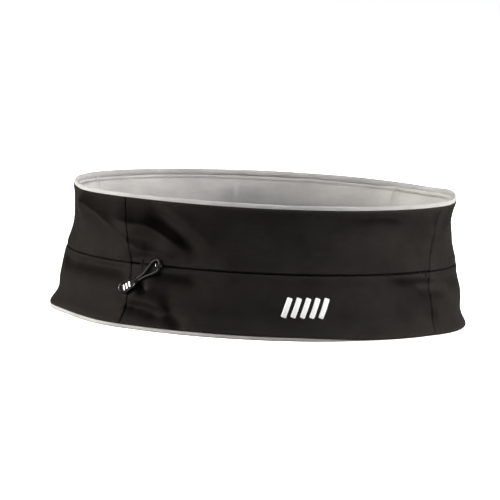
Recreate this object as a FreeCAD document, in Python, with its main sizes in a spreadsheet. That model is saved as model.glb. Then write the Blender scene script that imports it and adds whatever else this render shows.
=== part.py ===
import FreeCAD
import Part
import Sketcher
import math
import os

# A zipped money belt: a stretch tube of two fabric layers, worn round the waist.
# Its plan is an oval of four tangent arcs. Each panel is its cross-section turned
# about the axis of its own arc, so the panels meet face to face at the side seams.
# The frame stands on the lower edge: +Z up, the zipped front towards -Y.

DIMENSIONS = {
    # plan oval, at the outside of the lower edge
    "front_radius": 206.0,
    "side_radius": 106.0,
    "seam_angle": 40.0,
    # cross-section, from the lower edge up
    "piping_height": 3.0,
    "piping_width": 2.2,
    "piping_inset": 0.5,
    "lower_height": 48.0,
    "upper_height": 51.0,
    "slope": 12.0,
    "waist_radius": 106.0,
    "shelf": 9.0,
    "fabric": 1.0,
    "lining": 1.0,
    "layer_gap": 0.15,
    "pocket_depth": 4.8,
    "pocket_flat": 4.5,
    # zip
    "slit_half": 0.9,
    "tape_gap": 0.05,
    "tape": 0.45,
    "tape_edge": 0.75,
    "tape_end_angle": 36.5,
    "coil_depth": 2.2,
    "coil_thickness": 1.5,
    "coil_width": 1.75,
    "coil_parting": 0.7,
    "parted_width": 2.2,
    "stop_length": 1.5,
    "stop_gap": 0.2,
    "bottom_stop_angle": 34.4,
    "tack_angle": 36.0,
    "tack_width": 2.0,
    "tack_height": 8.0,
    "tack_thickness": 0.5,
    # slider
    "slider_angle": -31.7,
    "mouth_length": 3.2,
    "tail_length": 5.8,
    "mouth_half": 2.95,
    "tail_half": 2.5,
    "plate": 0.6,
    "plate_depth": 4.4,
    "lip_edge": 1.35,
    "lip_top": 1.65,
    "lip": 0.45,
    "post_half_width": 0.6,
    "post_half_length": 1.6,
    "crown_base": 0.3,
    "crown_top": 3.2,
    "crown_half_length": 2.9,
    "crown_half_width": 1.0,
    "crown_round": 0.6,
    "window_half": 1.25,
    "window_base": 0.6,
    "window_top": 2.45,
    # cord and grip
    "cord": 1.6,
    "cord_height": 1.55,
    "pull_direction": 217.0,
    "pull_tilt": 2.5,
    "throat": 21.4,
    "grip_length": 16.6,
    "grip_neck": 2.4,
    "grip_shoulder": 3.4,
    "shoulder_length": 1.6,
    "grip_end_radius": 4.6,
    "grip_end_angle": 75.0,
    "grip_below": 1.2,
    "grip_above": 2.0,
    "grip_round": 0.9,
    # prints
    "mark_film": 0.15,
    "mark_bar_length": 4.4,
    "mark_bar_width": 1.2,
    "mark_bar_pitch": 2.6,
    "mark_centre": 9.0,
    "print_film": 0.2,
    "print_angle": 2.3,
    "print_height": 26.0,
    "print_bar_length": 16.5,
    "print_bar_width": 4.2,
    "print_bar_pitch": 7.6,
    "print_slant": 18.0,
}

# Centre line of the pull cord in the pull's own plane: x away from the slider, y across.
# It leaves the grip, passes through the slider's bridge and comes back to the grip.
CORD_ROUTE = [
    (21.4, 0.85),
    (16.2, 0.85),
    (10.2, 1.9),
    (4.9, 3.0),
    (1.55, 2.05),
    (-1.95, -2.6),
    (-1.2, -5.3),
    (3.3, -5.6),
    (9.4, -3.2),
    (15.6, -0.85),
    (21.4, -0.85),
]
PRINT_BARS = 5
MARK_BARS = 3

doc = FreeCAD.newDocument("money_belt")
sheet = doc.addObject("Spreadsheet::Sheet", "Dimensions")
for row, (alias, value) in enumerate(DIMENSIONS.items(), start=1):
    sheet.set(f"A{row}", alias)
    sheet.set(f"B{row}", str(value))
    sheet.setAlias(f"B{row}", alias)
doc.recompute()

parts = []


def d(alias):
    """Expression that reads one cell of the sheet."""
    return f"Dimensions.{alias}"


def number(expression):
    """Present value of an expression, where a sketch or a placement starts."""
    value = sheet.evalExpression(str(expression))
    return float(getattr(value, "Value", value))


SLOPE_TAN = f"tan({d('slope')})"
SLOPE_SIN = f"sin({d('slope')})"
SLOPE_COS = f"cos({d('slope')})"
ARC_OFFSET = f"({d('front_radius')} - {d('side_radius')})"
FRONT_CENTRE = f"({ARC_OFFSET} * cos({d('seam_angle')}))"
SIDE_CENTRE = f"({ARC_OFFSET} * sin({d('seam_angle')}))"
SEAM_Z = f"({d('piping_height')} + {d('lower_height')})"
TOP_Z = f"({SEAM_Z} + {d('upper_height')})"
TAPE_TOP = f"({d('fabric')} + {d('tape_gap')})"
TAPE_BOTTOM = f"({TAPE_TOP} + {d('tape')})"
COIL_BOTTOM = f"({d('coil_depth')} + {d('coil_thickness')})"
SEAM_RADIUS = f"({d('front_radius')} - {d('lower_height')} * {SLOPE_TAN})"


def along_zip(angle, distance):
    """Angle about the front arc's axis after a further distance along the zip."""
    return f"({angle} + ({distance}) * 180 / pi / {SEAM_RADIUS})"


def on_slope(radius, up, out):
    """Point of a cross-section, measured from the zip line up the slope and out of it."""
    seam = f"({radius} - {d('lower_height')} * {SLOPE_TAN})"
    across = f"{seam} + ({out}) * {SLOPE_COS} - ({up}) * {SLOPE_SIN}"
    height = f"{SEAM_Z} + ({out}) * {SLOPE_SIN} + ({up}) * {SLOPE_COS}"
    return across, height


def waist_arc(radius, depth):
    """Hollow of the upper half: its centre, its radius at a depth, and its end at the top edge."""
    centre_x, centre_z = on_slope(radius, d("shelf"), d("waist_radius"))
    arc_radius = f"({d('waist_radius')} + {depth})"
    top_x = f"{centre_x} - sqrt({arc_radius}^2 - ({TOP_Z} - ({centre_z}))^2)"
    return centre_x, centre_z, arc_radius, top_x


def new_body(label):
    body = doc.addObject("PartDesign::Body", label)
    body.Label = label
    parts.append(body)
    return body


def new_sketch(body, name, role, offset="0"):
    """Sketch on one of the body's own origin planes, moved along its normal."""
    sketch = body.newObject("Sketcher::SketchObject", name)
    plane = next(item for item in body.Origin.OriginFeatures if item.Role == role)
    sketch.AttachmentSupport = [(plane, "")]
    sketch.MapMode = "FlatFace"
    sketch.setExpression("AttachmentOffset.Base.z", offset)
    return sketch


def bind(sketch, constraint, expression):
    """Add a dimension to a sketch and drive it from the sheet."""
    index = sketch.addConstraint(constraint)
    sketch.setExpression(f"Constraints[{index}]", expression)


def pin(sketch, geometry, end, corner):
    """Hold one end of a line or arc at a point given by two expressions."""
    for kind, expression in zip(("DistanceX", "DistanceY"), corner):
        bind(sketch, Sketcher.Constraint(kind, -1, 1, geometry, end, number(expression)), expression)


def outline(sketch, corners, arcs=()):
    """Closed outline through corners. arcs gives (side, centre x, centre y, radius, turn)."""
    round_sides = {side: (x, y, radius, turn) for side, x, y, radius, turn in arcs}
    points = [FreeCAD.Vector(number(x), number(y), 0) for x, y in corners]
    ends = {}
    for side, start in enumerate(points):
        finish = points[(side + 1) % len(points)]
        if side not in round_sides:
            line = sketch.addGeometry(Part.LineSegment(start, finish))
            ends[side] = (line, 1, 2)
            continue
        x, y, radius, turn = round_sides[side]
        centre = FreeCAD.Vector(number(x), number(y), 0)
        first, last = (start, finish) if turn > 0 else (finish, start)
        angles = [math.atan2(point.y - centre.y, point.x - centre.x) for point in (first, last)]
        if angles[1] < angles[0]:
            angles[1] += 2 * math.pi
        circle = Part.Circle(centre, FreeCAD.Vector(0, 0, 1), number(radius))
        arc = sketch.addGeometry(Part.ArcOfCircle(circle, *angles))
        bind(sketch, Sketcher.Constraint("Radius", arc, number(radius)), radius)
        ends[side] = (arc, 1, 2) if turn > 0 else (arc, 2, 1)
    for side, corner in enumerate(corners):
        line, start, _ = ends[side]
        before, _, finish = ends[(side - 1) % len(corners)]
        sketch.addConstraint(Sketcher.Constraint("Coincident", before, finish, line, start))
        pin(sketch, line, start, corner)


def turned(body, name, corners, sweep, arcs=(), turn=None):
    """Cross-section turned about the body's axis, half of the sweep to each side of its plane."""
    sketch = new_sketch(body, f"{name}_section", "XZ_Plane")
    if turn is not None:
        spin = f"placement(vector(0; 0; 0); rotation(vector(0; 1; 0); {turn}))"
        sketch.setExpression("AttachmentOffset", spin)
    outline(sketch, corners, arcs)
    feature = body.newObject("PartDesign::Revolution", name)
    feature.Profile = sketch
    axis = next(item for item in body.Origin.OriginFeatures if item.Role == "Z_Axis")
    feature.ReferenceAxis = (axis, [""])
    feature.Midplane = True
    feature.setExpression("Angle", sweep)


def pad(body, name, role, corners, offset, length, arcs=(), midplane=False):
    """Outline padded along the normal of one of the body's origin planes."""
    sketch = new_sketch(body, f"{name}_outline", role, offset)
    for loop in corners:
        outline(sketch, loop, arcs)
    feature = body.newObject("PartDesign::Pad", name)
    feature.Profile = sketch
    feature.Midplane = midplane
    feature.setExpression("Length", length)
    return feature


def round_edges(body, name, chosen, radius):
    """Fillet the edges of the body so far that a test picks out."""
    doc.recompute()
    base = body.Tip
    edges = [f"Edge{index}" for index, edge in enumerate(base.Shape.Edges, start=1) if chosen(edge)]
    fillet = body.newObject("PartDesign::Fillet", name)
    fillet.Base = (base, edges)
    fillet.setExpression("Radius", radius)
    body.Tip = fillet


def mirrored_loop(loop):
    """The same outline on the other side of the x axis."""
    return [(x, f"-({y})") for x, y in loop]


def place_on_arc(item, centre_x, centre_y, angle):
    """Stand an object on the axis of its arc, facing a direction measured from +X."""
    spot = f"vector({centre_x}; {centre_y}; 0)"
    item.setExpression("Placement", f"placement({spot}; rotation(vector(0; 0; 1); {angle}))")


def place_on_zip(item, angle, extra=""):
    """Lay an object in the zip's plane: x along the zip, y up the slope, z out of it."""
    turn = f"placement(vector(0; {FRONT_CENTRE}; 0); rotation(vector(0; 0; 1); {angle}))"
    lay = f"placement(vector(0; -{SEAM_RADIUS}; {SEAM_Z}); rotation(vector(1; 0; 0); 90 - {d('slope')}))"
    item.setExpression("Placement", f"{turn} * {lay}{extra}")


FRONT_SWEEP = f"(2 * {d('seam_angle')})"
SIDE_SWEEP = f"(180 - 2 * {d('seam_angle')})"
SIDES = {
    "front": ("0", FRONT_CENTRE, "-90", d("front_radius"), FRONT_SWEEP),
    "right": (SIDE_CENTRE, "0", "0", d("side_radius"), SIDE_SWEEP),
    "back": ("0", f"-{FRONT_CENTRE}", "90", d("front_radius"), FRONT_SWEEP),
    "left": (f"-{SIDE_CENTRE}", "0", "180", d("side_radius"), SIDE_SWEEP),
}


def lower_panel(side):
    """Lower half of the outer layer: a cone that leans in from the lower edge to the seam."""
    centre_x, centre_y, angle, radius, sweep = SIDES[side]
    edge = d("slit_half") if side == "front" else "0"
    thickness = d("fabric")
    body = new_body(f"{side}_lower_panel")
    corners = [
        (f"{radius} - {thickness} / {SLOPE_COS}", d("piping_height")),
        (radius, d("piping_height")),
        on_slope(radius, f"-{edge}", "0"),
        on_slope(radius, f"-{edge}", f"-{thickness}"),
    ]
    turned(body, "panel", corners, sweep)
    place_on_arc(body, centre_x, centre_y, angle)


def upper_panel(side):
    """Upper half of the outer layer: straight over the zip tape, then hollow up to the top edge."""
    centre_x, centre_y, angle, radius, sweep = SIDES[side]
    edge = d("slit_half") if side == "front" else "0"
    arc_x, arc_z, outer_radius, outer_top = waist_arc(radius, "0")
    inner_radius, inner_top = waist_arc(radius, d("fabric"))[2:]
    body = new_body(f"{side}_upper_panel")
    corners = [
        on_slope(radius, edge, f"-{d('fabric')}"),
        on_slope(radius, edge, "0"),
        on_slope(radius, d("shelf"), "0"),
        (outer_top, TOP_Z),
        (inner_top, TOP_Z),
        on_slope(radius, d("shelf"), f"-{d('fabric')}"),
    ]
    arcs = [(2, arc_x, arc_z, outer_radius, -1), (4, arc_x, arc_z, inner_radius, 1)]
    turned(body, "panel", corners, sweep, arcs)
    place_on_arc(body, centre_x, centre_y, angle)


def lining_panel(side):
    """Inner layer: close to the outer one at both edges and a slider's depth behind the zip."""
    centre_x, centre_y, angle, radius, sweep = SIDES[side]
    gap = f"({d('fabric')} + {d('layer_gap')})"
    back = f"({gap} + {d('lining')})"
    depth = d("pocket_depth")
    arc_x, arc_z, outer_radius, outer_top = waist_arc(radius, gap)
    inner_radius, inner_top = waist_arc(radius, back)[2:]
    flat = d("pocket_flat")
    body = new_body(f"{side}_lining")
    outer = [
        (f"{radius} - {gap} / {SLOPE_COS}", d("piping_height")),
        on_slope(radius, f"-{flat}", f"-{depth}"),
        on_slope(radius, flat, f"-{depth}"),
        (f"{arc_x} - {outer_radius}", arc_z),
        (outer_top, TOP_Z),
    ]
    inner = [
        (inner_top, TOP_Z),
        (f"{arc_x} - {inner_radius}", arc_z),
        on_slope(radius, flat, f"-({depth} + {d('lining')})"),
        on_slope(radius, f"-{flat}", f"-({depth} + {d('lining')})"),
        (f"{radius} - {back} / {SLOPE_COS}", d("piping_height")),
    ]
    arcs = [(3, arc_x, arc_z, outer_radius, -1), (5, arc_x, arc_z, inner_radius, 1)]
    turned(body, "lining", outer + inner, sweep, arcs)
    place_on_arc(body, centre_x, centre_y, angle)


def piping(label, base, outer):
    """Edge binding: a flat-topped band with round sides, swept once round the oval."""
    body = new_body(label)
    spine = new_sketch(body, "oval", "XY_Plane")
    seam_x = f"{d('front_radius')} * sin({d('seam_angle')})"
    seam_y = f"{d('side_radius')} * cos({d('seam_angle')})"
    corners = [
        (f"-{seam_x}", f"-{seam_y}"),
        (seam_x, f"-{seam_y}"),
        (seam_x, seam_y),
        (f"-{seam_x}", seam_y),
    ]
    arcs = [
        (index, centre_x, centre_y, radius, 1)
        for index, (centre_x, centre_y, _, radius, _) in enumerate(SIDES.values())
    ]
    outline(spine, corners, arcs)
    front_y = f"({FRONT_CENTRE} - ({outer}) + {d('piping_inset')})"
    back_y = f"({front_y} + {d('piping_width')})"
    bulge = f"({d('piping_height')} * 0.1)"
    side_radius = f"(({bulge}^2 + ({d('piping_height')} / 2)^2) / (2 * {bulge}))"
    middle = f"({base} + {d('piping_height')} / 2)"
    top = f"({base} + {d('piping_height')})"
    section = new_sketch(body, "section", "YZ_Plane")
    outline(
        section,
        [
            (f"{front_y} + {bulge}", base),
            (f"{back_y} - {bulge}", base),
            (f"{back_y} - {bulge}", top),
            (f"{front_y} + {bulge}", top),
        ],
        [
            (1, f"{back_y} - {side_radius}", middle, side_radius, 1),
            (3, f"{front_y} + {side_radius}", middle, side_radius, 1),
        ],
    )
    band = body.newObject("PartDesign::AdditivePipe", "band")
    band.Profile = section
    band.Spine = (spine, [])


def zip_tape(label, side):
    """Woven tape behind one lip of the slit, its edge rolled inwards to carry the coil."""
    def tape_point(up, out):
        return on_slope(d("front_radius"), f"{side} * ({up})", f"-({out})")

    body = new_body(label)
    edge = d("tape_edge")
    corners = [
        tape_point(edge, TAPE_TOP),
        tape_point(d("shelf"), TAPE_TOP),
        tape_point(d("shelf"), TAPE_BOTTOM),
        tape_point(f"{edge} + {d('tape')}", TAPE_BOTTOM),
        tape_point(f"{edge} + {d('tape')}", d("coil_depth")),
        tape_point(edge, d("coil_depth")),
    ]
    turned(body, "tape", corners, f"2 * {d('tape_end_angle')}")
    place_on_arc(body, "0", FRONT_CENTRE, "-90")


def zip_coil(label, side):
    """Row of teeth on one tape: joined with the other behind the slider, parted in its mouth."""
    def coil_section(near, far):
        levels = (f"-{d('coil_depth')}", f"-{COIL_BOTTOM}")
        ups = (f"{side} * {near}", f"{side} * {far}")
        order = ((0, 0), (1, 0), (1, 1), (0, 1))
        return [on_slope(d("front_radius"), ups[across], levels[level]) for across, level in order]

    body = new_body(label)
    gap = d("stop_gap")
    join = along_zip(d("slider_angle"), f"{d('post_half_length')} + {gap}")
    finish = along_zip(d("bottom_stop_angle"), f"-(0.5 * {d('stop_length')} + {d('tape_gap')})")
    start = along_zip(d("slider_angle"), f"{gap} - {d('mouth_length')}")
    middle = f"(({finish} + {join}) / 2)"
    turned(body, "joined_teeth", coil_section("0", d("coil_width")), f"{finish} - {join}")
    parted = coil_section(d("coil_parting"), d("parted_width"))
    turned(body, "parted_teeth", parted, f"{join} - {start}", turn=f"({start} + {join}) / 2 - {middle}")
    place_on_arc(body, "0", FRONT_CENTRE, f"{middle} - 90")


def block(name, angle, low, high):
    """Plain block in the zip's plane, from its low corner to its high corner."""
    box = doc.addObject("Part::Box", name)
    for size, first, last in zip(("Length", "Width", "Height"), low, high):
        box.setExpression(size, f"{last} - ({first})")
    place_on_zip(box, angle, f" * placement(vector({'; '.join(low)}); rotation(vector(0; 0; 1); 0))")
    return box


def group(label, members):
    """Alike small pieces kept together as separate solids of one node."""
    compound = doc.addObject("Part::Compound", label)
    compound.Label = label
    compound.Links = members
    parts.append(compound)


def zip_ends():
    """Two top stops ahead of the slider, the bottom stop that joins the tapes, and the tacks."""
    half = f"(0.5 * {d('stop_length')})"
    ahead = along_zip(d("slider_angle"), f"-({d('mouth_length')} + {d('stop_gap')} + {half})")
    levels = (f"-{COIL_BOTTOM}", f"-{d('coil_depth')}")
    near, far = d("coil_parting"), d("parted_width")
    upper = block("upper_stop", ahead, (f"-{half}", near, levels[0]), (half, far, levels[1]))
    lower = block("lower_stop", ahead, (f"-{half}", f"-{far}", levels[0]), (half, f"-{near}", levels[1]))
    group("zip_top_stops", [upper, lower])
    stop = block(
        "zip_bottom_stop",
        d("bottom_stop_angle"),
        (f"-{half}", f"-{far}", levels[0]),
        (half, far, levels[1]),
    )
    stop.Label = "zip_bottom_stop"
    parts.append(stop)
    width, height = f"(0.5 * {d('tack_width')})", f"(0.5 * {d('tack_height')})"
    low = (f"-{width}", f"-{height}", "0")
    high = (width, height, d("tack_thickness"))
    tacks = [
        block("left_tack", f"-{d('tack_angle')}", low, high),
        block("right_tack", d("tack_angle"), low, high),
    ]
    group("bar_tacks", tacks)


def zip_slider():
    """One casting: a channel that holds both coils, a dividing post, and the bridge for the cord."""
    body = new_body("zip_slider")
    mouth, tail = f"-{d('mouth_length')}", d("tail_length")
    wide, narrow = d("mouth_half"), d("tail_half")
    wall = d("plate")
    edge, post, post_length = d("lip_edge"), d("post_half_width"), d("post_half_length")
    plate_loop = [
        (mouth, f"-{wide}"), ("0", f"-{wide}"), (tail, f"-{narrow}"),
        (tail, narrow), ("0", wide), (mouth, wide),
    ]
    pad(body, "inner_plate", "XY_Plane", [plate_loop], f"-{d('plate_depth')}", wall)
    wall_loop = [
        (mouth, f"{wide} - {wall}"), ("0", f"{wide} - {wall}"), (tail, f"{narrow} - {wall}"),
        (tail, narrow), ("0", wide), (mouth, wide),
    ]
    floor = f"-({d('plate_depth')} - {wall})"
    wall_height = f"{d('plate_depth')} - {wall} - {d('lip_top')}"
    pad(body, "side_walls", "XY_Plane", [wall_loop, mirrored_loop(wall_loop)], floor, wall_height)
    lip_loop = [
        (mouth, edge), (tail, edge), (tail, f"{narrow} - 0.5 * {wall}"),
        ("0", f"{wide} - 0.5 * {wall}"), (mouth, f"{wide} - 0.5 * {wall}"),
    ]
    lip_base = f"-({d('lip_top')} + {d('lip')})"
    pad(body, "lips", "XY_Plane", [lip_loop, mirrored_loop(lip_loop)], lip_base, d("lip"))
    post_loop = [
        (f"-{post_length}", f"-{post}"), (f"0.4 * {post_length}", f"-{post}"), (post_length, "0"),
        (f"0.4 * {post_length}", post), (f"-{post_length}", post),
    ]
    post_height = f"{d('plate_depth')} - {wall} + {d('crown_base')}"
    pad(body, "post", "XY_Plane", [post_loop], floor, post_height)
    reach, base, top = d("crown_half_length"), d("crown_base"), d("crown_top")
    crown_loop = [(f"-{reach}", base), (reach, base), (reach, top), (f"-{reach}", top)]
    pad(body, "bridge", "XZ_Plane", [crown_loop], "0", f"2 * {d('crown_half_width')}", midplane=True)
    round_edges(body, "rounded_bridge", is_bridge_corner, d("crown_round"))
    window = new_sketch(body, "window_outline", "XZ_Plane")
    side = d("window_half")
    low, high = d("window_base"), d("window_top")
    outline(window, [(f"-{side}", low), (side, low), (side, high), (f"-{side}", high)])
    tunnel = body.newObject("PartDesign::Pocket", "cord_window")
    tunnel.Profile = window
    tunnel.Midplane = True
    tunnel.setExpression("Length", f"4 * {d('crown_half_width')}")
    place_on_zip(body, d("slider_angle"))


def is_grip_rim(edge):
    """True for the level edges of the grip, except across its neck."""
    return abs(edge.Vertexes[0].Z - edge.Vertexes[-1].Z) < 1e-6 and edge.BoundBox.XMax > 1e-3


def is_bridge_corner(edge):
    """True for the two edges along the top of the bridge, across the zip."""
    ends = [vertex.Point for vertex in edge.Vertexes]
    across = len(ends) == 2 and abs(ends[0].x - ends[1].x) < 1e-6 and abs(ends[0].z - ends[1].z) < 1e-6
    return across and abs(ends[0].z - number(d("crown_top"))) < 1e-6


CORD_PLANE = (
    f" * placement(vector(0; 0; {d('cord_height')}); rotation(vector(0; 1; 0); -{d('pull_tilt')}))"
    f" * placement(vector(0; 0; 0); rotation(vector(0; 0; 1); {d('pull_direction')}))"
)


def rounded_path(route):
    """Straight runs joined by tangent arcs, each as large as its two runs allow."""
    points = [FreeCAD.Vector(x, y, 0) for x, y in route]
    edges = []
    radii = []
    start = points[0]
    for before, corner, after in zip(points, points[1:], points[2:]):
        back, onward = before - corner, after - corner
        shorter = min(back.Length, onward.Length)
        half_turn = (math.pi - back.getAngle(onward)) / 2
        radii.append(0.45 * shorter / math.tan(half_turn))
        back.normalize()
        onward.normalize()
        arc_start, arc_end = corner + back * 0.45 * shorter, corner + onward * 0.45 * shorter
        inward = (back + onward).normalize()
        centre = corner + inward * (radii[-1] / math.cos(half_turn))
        middle = centre - inward * radii[-1]
        edges.append(Part.LineSegment(start, arc_start))
        edges.append(Part.Arc(arc_start, middle, arc_end))
        start = arc_end
    edges.append(Part.LineSegment(start, points[-1]))
    return edges, radii


def pull_cord():
    """Loop of cord from the grip, through the bridge, round its pillar and back."""
    body = new_body("pull_cord")
    edges, radii = rounded_path(CORD_ROUTE)
    path = new_sketch(body, "route", "XY_Plane")
    for edge in edges:
        path.addConstraint(Sketcher.Constraint("Block", path.addGeometry(edge)))
    section = new_sketch(body, "section", "YZ_Plane", str(CORD_ROUTE[0][0]))
    across = FreeCAD.Vector(CORD_ROUTE[0][1], 0, 0)
    ring = section.addGeometry(Part.Circle(across, FreeCAD.Vector(0, 0, 1), number(d("cord")) / 2))
    bind(section, Sketcher.Constraint("Diameter", ring, number(d("cord"))), d("cord"))
    pin(section, ring, 3, (str(across.x), "0"))
    strand = body.newObject("PartDesign::AdditivePipe", "strand")
    strand.Profile = section
    strand.Spine = (path, [])
    place_on_zip(body, d("slider_angle"), CORD_PLANE)
    length = sum(edge.length() for edge in edges)
    print("cord length", round(length, 2), "radii", [round(radius, 1) for radius in radii])
    return body, length


def cord_grip():
    """Moulded pull: a flat drop that widens to a round end, closed over both strands."""
    body = new_body("cord_grip")
    neck, shoulder, end = d("grip_neck"), d("grip_shoulder"), d("grip_end_radius")
    shoulder_x = d("shoulder_length")
    centre_x = f"({d('grip_length')} - {end})"
    end_x = f"({centre_x} + {end} * cos({d('grip_end_angle')}))"
    end_y = f"({end} * sin({d('grip_end_angle')}))"
    loop = [
        ("0", neck), ("0", f"-{neck}"), (shoulder_x, f"-{shoulder}"),
        (end_x, f"-{end_y}"), (end_x, end_y), (shoulder_x, shoulder),
    ]
    thickness = f"{d('grip_below')} + {d('grip_above')}"
    arcs = [(3, centre_x, "0", end, 1)]
    pad(body, "drop", "XY_Plane", [loop], f"-{d('grip_below')}", thickness, arcs)
    round_edges(body, "soft_rim", is_grip_rim, d("grip_round"))
    shift = f" * placement(vector({d('throat')}; 0; 0); rotation(vector(0; 0; 1); 0))"
    place_on_zip(body, d("slider_angle"), CORD_PLANE + shift)


def grip_mark():
    """Plain printed bars on the face of the grip."""
    middle = (MARK_BARS - 1) / 2
    bars = []
    for index in range(MARK_BARS):
        bar = doc.addObject("Part::Box", f"mark_bar_{index}")
        bar.setExpression("Length", d("mark_bar_width"))
        bar.setExpression("Width", d("mark_bar_length"))
        bar.setExpression("Height", d("mark_film"))
        x = f"{d('throat')} + {d('mark_centre')} + {index - middle} * {d('mark_bar_pitch')}"
        spot = f"vector({x}; 0; {d('grip_above')})"
        turn = f" * placement({spot}; rotation(vector(0; 0; 1); -{d('print_slant')}))"
        centre = f"vector(-{d('mark_bar_width')} / 2; -{d('mark_bar_length')} / 2; 0)"
        shift = f" * placement({centre}; rotation(vector(0; 0; 1); 0))"
        place_on_zip(bar, d("slider_angle"), CORD_PLANE + turn + shift)
        bars.append(bar)
    group("grip_mark", bars)


def reflective_print():
    """Row of slanted bars of reflective film, on the face of the lower front panel."""
    shells = []
    for name, film in (("film_face", d("print_film")), ("film_back", "0")):
        cone = doc.addObject("Part::Cone", name)
        radius = f"({d('front_radius')} + {film} / {SLOPE_COS})"
        cone.setExpression("Radius1", radius)
        cone.setExpression("Radius2", f"{radius} - {d('lower_height')} * {SLOPE_TAN}")
        cone.setExpression("Height", d("lower_height"))
        cone.setExpression("Placement.Base.y", FRONT_CENTRE)
        cone.setExpression("Placement.Base.z", d("piping_height"))
        shells.append(cone)
    film = doc.addObject("Part::Cut", "film")
    film.Base, film.Tool = shells
    middle = (PRINT_BARS - 1) / 2
    depth = "20"
    bars = []
    for index in range(PRINT_BARS):
        bar = doc.addObject("Part::Box", f"print_bar_{index}")
        bar.setExpression("Length", d("print_bar_width"))
        bar.setExpression("Width", d("print_bar_length"))
        bar.setExpression("Height", depth)
        x = f"{index - middle} * {d('print_bar_pitch')}"
        up = f"{d('print_height')} - {d('lower_height')}"
        turn = f" * placement(vector({x}; {up}; 0); rotation(vector(0; 0; 1); -{d('print_slant')}))"
        centre = f"vector(-{d('print_bar_width')} / 2; -{d('print_bar_length')} / 2; -{depth} / 2)"
        shift = f" * placement({centre}; rotation(vector(0; 0; 1); 0))"
        place_on_zip(bar, d("print_angle"), turn + shift)
        bars.append(bar)
    cutter = doc.addObject("Part::MultiFuse", "print_cutter")
    cutter.Shapes = bars
    common = doc.addObject("Part::Common", "reflective_print")
    common.Label = "reflective_print"
    common.Base = film
    common.Tool = cutter
    parts.append(common)


for panel_side in SIDES:
    lower_panel(panel_side)
    upper_panel(panel_side)
    lining_panel(panel_side)
piping("bottom_piping", "0", d("front_radius"))
piping("top_piping", TOP_Z, waist_arc(d("front_radius"), "0")[3])
zip_tape("zip_tape_upper", 1)
zip_tape("zip_tape_lower", -1)
zip_coil("zip_coil_upper", 1)
zip_coil("zip_coil_lower", -1)
zip_ends()
zip_slider()
cord_body, cord_length = pull_cord()
cord_grip()
grip_mark()
reflective_print()

doc.recompute()
failed = [item.Name for item in doc.Objects if {"Invalid", "Error"} & set(item.State)]
if failed:
    raise RuntimeError(f"objects failed to recompute: {failed}")
for item in parts:
    if item.Shape.isNull() or not item.Shape.isValid():
        raise RuntimeError(f"{item.Label} has no valid shape")
cord_section = math.pi * (number(d("cord")) / 2) ** 2
print("cord volume", round(cord_body.Shape.Volume, 2))
print("cord section times length", round(cord_section * cord_length, 2))

os.makedirs("parts", exist_ok=True)
for item in parts:
    item.Shape.exportStep(f"parts/{item.Label}.step")
    box = item.Shape.optimalBoundingBox()
    print(
        item.Label, "solids", len(item.Shape.Solids), "volume", round(item.Shape.Volume, 1),
        "x", round(box.XMin, 1), round(box.XMax, 1),
        "y", round(box.YMin, 1), round(box.YMax, 1),
        "z", round(box.ZMin, 1), round(box.ZMax, 1),
    )
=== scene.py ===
import math

import bpy
import numpy as np
from mathutils import Matrix, Vector


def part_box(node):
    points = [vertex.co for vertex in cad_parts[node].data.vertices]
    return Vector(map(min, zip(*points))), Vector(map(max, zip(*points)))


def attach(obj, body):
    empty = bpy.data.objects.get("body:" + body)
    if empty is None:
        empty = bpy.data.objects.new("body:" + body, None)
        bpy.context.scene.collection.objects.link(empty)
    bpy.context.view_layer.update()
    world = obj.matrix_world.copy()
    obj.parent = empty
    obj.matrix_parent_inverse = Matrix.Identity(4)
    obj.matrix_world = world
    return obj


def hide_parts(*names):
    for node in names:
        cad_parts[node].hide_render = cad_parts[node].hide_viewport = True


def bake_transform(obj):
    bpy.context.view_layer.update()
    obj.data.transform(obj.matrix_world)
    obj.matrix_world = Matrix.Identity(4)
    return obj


# A zipped money belt: a stretch tube of black knit with a light lining, grey edge bands, a
# reversed coil zip along the front and a slider with a looped cord and a moulded grip.
# Shapes are worked out in millimetres and written in metres, in the CAD frame.

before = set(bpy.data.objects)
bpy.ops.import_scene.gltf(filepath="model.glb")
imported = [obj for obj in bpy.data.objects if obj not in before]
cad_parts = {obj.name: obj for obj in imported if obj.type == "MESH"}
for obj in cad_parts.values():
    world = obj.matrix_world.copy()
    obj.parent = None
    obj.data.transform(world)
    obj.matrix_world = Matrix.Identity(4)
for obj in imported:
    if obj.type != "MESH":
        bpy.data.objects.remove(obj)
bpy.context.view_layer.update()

MM = 0.001

# plan oval and cross-section, as in the CAD model
FRONT_RADIUS = 206.0
SIDE_RADIUS = 106.0
SEAM_ANGLE = 40.0
HEM_Z = 3.0
LOWER_HEIGHT = 48.0
UPPER_HEIGHT = 51.0
SLOPE = math.radians(12.0)
WAIST_RADIUS = 106.0
SHELF = 9.0
FRONT_CENTRE = (FRONT_RADIUS - SIDE_RADIUS) * math.cos(math.radians(SEAM_ANGLE))
SIDE_CENTRE = (FRONT_RADIUS - SIDE_RADIUS) * math.sin(math.radians(SEAM_ANGLE))
ZIP_Z = HEM_Z + LOWER_HEIGHT
TOP_Z = ZIP_Z + UPPER_HEIGHT
ZIP_RADIUS = FRONT_RADIUS - LOWER_HEIGHT * math.tan(SLOPE)
BELT_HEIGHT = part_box("top_piping")[1].z / MM
FRONT_WIDTH = 2 * math.radians(SEAM_ANGLE) * FRONT_RADIUS
SIDE_WIDTH = math.radians(180 - 2 * SEAM_ANGLE) * SIDE_RADIUS
HALF_GIRTH = FRONT_WIDTH + SIDE_WIDTH

# hollow of the upper half, measured in and up from the lower edge
SHELF_Z = ZIP_Z + SHELF * math.cos(SLOPE)
WAIST_X = (
    WAIST_RADIUS * math.cos(SLOPE) - SHELF * math.sin(SLOPE) - LOWER_HEIGHT * math.tan(SLOPE)
)
WAIST_Z = SHELF_Z + WAIST_RADIUS * math.sin(SLOPE)

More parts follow.
